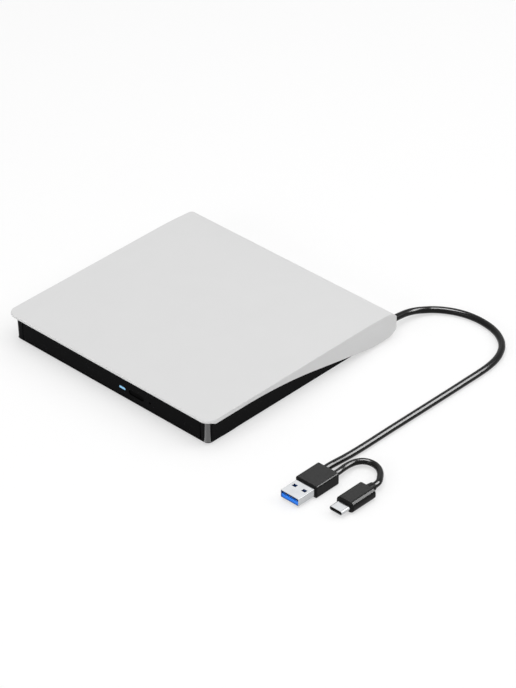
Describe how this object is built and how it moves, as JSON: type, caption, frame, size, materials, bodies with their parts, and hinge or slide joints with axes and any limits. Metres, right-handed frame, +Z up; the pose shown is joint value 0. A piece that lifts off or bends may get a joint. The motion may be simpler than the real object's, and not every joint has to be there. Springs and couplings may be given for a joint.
{
  "type": "external dvd drive",
  "caption": "Slim external DVD drive with a white wave-shaped cover over a black case, a sliding disc tray with pickup and spindle, and a USB lead with A and C plugs.",
  "frame": {"origin": "on the table below the middle of the housing", "axes": "+X to the right of the front, front faces -Y, +Z up"},
  "size_m": [0.2341, 0.1864, 0.0174],
  "materials": {
    "white_cover": "satin white moulded cover",
    "black_gloss": "polished black moulding",
    "black_rubber": "soft black rubber",
    "screw_steel": "plated screw steel",
    "rod_steel": "ground steel rod",
    "sheet_steel": "galvanised sheet steel",
    "ivory_plastic": "natural low-friction plastic",
    "black_matt": "fine-grained black moulding",
    "light_window": "clear blue-white light window",
    "circuit_board": "green solder mask",
    "motor_brass": "copper winding on a steel core",
    "hub_metal": "die-cast and turned metal",
    "lens_glass": "coated lens",
    "amber_film": "amber film with copper traces",
    "red_wire": "wire insulation",
    "black_cord": "smooth black cord jacket and overmould",
    "plug_shell": "nickel-plated plug shell",
    "blue_plastic": "blue plug insulator"
  },
  "bodies": {
    "case": {"top_cover": "white_cover", "bottom_case": "black_gloss", "rubber_feet": "black_rubber", "case_screws": "screw_steel", "foam_pads": "black_rubber", "drive_chassis": "sheet_steel", "drive_lid": "sheet_steel", "lid_screws": "screw_steel", "rail_guides": "ivory_plastic", "latch_pin": "rod_steel", "pusher_housing": "black_matt", "eject_pusher": "ivory_plastic", "eject_spring": "rod_steel", "main_board": "circuit_board", "main_chips": "black_matt", "drive_connector": "black_matt", "flex_ribbon": "amber_film", "bridge_board": "circuit_board", "bridge_socket": "black_matt", "bridge_chips": "black_matt", "bridge_screws": "screw_steel", "cable_grommet": "black_rubber", "cable_clamp": "black_matt", "lead_wires": "red_wire", "usb_cable": "black_cord", "usb_a_plug": "black_cord", "usb_a_shell": "plug_shell", "usb_a_tongue": "blue_plastic", "usb_c_cable": "black_cord", "usb_c_plug": "black_cord", "usb_c_shell": "plug_shell"},
    "tray": {"disc_tray": "black_matt", "front_bezel": "black_gloss", "light_pipe": "light_window", "tray_board": "circuit_board", "eject_switch": "black_matt", "status_light": "light_window", "tray_pan": "sheet_steel", "pan_screws": "screw_steel", "deck_cover": "black_matt", "traverse_frame": "sheet_steel", "dampers": "black_rubber", "traverse_screws": "screw_steel", "spindle_motor": "motor_brass", "guide_rods": "rod_steel", "sled_motor": "sheet_steel", "latch_solenoid": "motor_brass"},
    "left_rail": {"rail_left": "sheet_steel"},
    "right_rail": {"rail_right": "sheet_steel"},
    "button": {"eject_button": "black_gloss"},
    "spindle": {"spindle_hub": "hub_metal", "turntable_pad": "black_rubber", "chuck_claws": "ivory_plastic"},
    "sled": {"pickup_sled": "hub_metal", "sled_nut": "ivory_plastic", "pickup_cover": "sheet_steel"},
    "feed_screw": {"lead_screw": "rod_steel"},
    "lens": {"lens_holder": "black_matt", "objective_lens": "lens_glass"},
    "latch": {"latch_lever": "ivory_plastic"}
  },
  "joints": [
    {"name": "tray_slide", "type": "slide", "parent": "case", "child": "tray", "axis": [0, -1, 0], "range_m": [0, 0.128], "deforming": ["flex_ribbon"]},
    {"name": "left_rail_slide", "type": "slide", "parent": "case", "child": "left_rail", "axis": [0, -1, 0], "range_m": [0, 0.064]},
    {"name": "right_rail_slide", "type": "slide", "parent": "case", "child": "right_rail", "axis": [0, -1, 0], "range_m": [0, 0.064]},
    {"name": "button_press", "type": "slide", "parent": "tray", "child": "button", "axis": [0, 1, 0], "range_m": [0, 0.0006], "stiffness_N_per_m": 800},
    {"name": "spindle_turn", "type": "hinge", "parent": "tray", "child": "spindle", "pos_m": [0, -0.0046, 0.0062], "axis": [0, 0, 1], "continuous": true},
    {"name": "sled_slide", "type": "slide", "parent": "tray", "child": "sled", "axis": [-0.6691, -0.7431, 0], "range_m": [0, 0.034]},
    {"name": "feed_screw_turn", "type": "hinge", "parent": "tray", "child": "feed_screw", "pos_m": [-0.01412, 0.00811, 0.0062], "axis": [-0.6691, -0.7431, 0], "range_deg": [0, 4081]},
    {"name": "lens_focus", "type": "slide", "parent": "sled", "child": "lens", "axis": [0, 0, 1], "range_m": [-0.00025, 0.00025], "stiffness_N_per_m": 100},
    {"name": "latch_turn", "type": "hinge", "parent": "tray", "child": "latch", "pos_m": [0.044, 0.0099, 0.0047], "axis": [0, 0, 1], "range_deg": [-10, 0]}
  ],
  "couplings": [
    {"joint": "left_rail_slide", "follows": "tray_slide", "ratio": 0.5},
    {"joint": "right_rail_slide", "follows": "tray_slide", "ratio": 0.5},
    {"joint": "feed_screw_turn", "follows": "sled_slide", "rad_per_m": 2094.4}
  ]
}
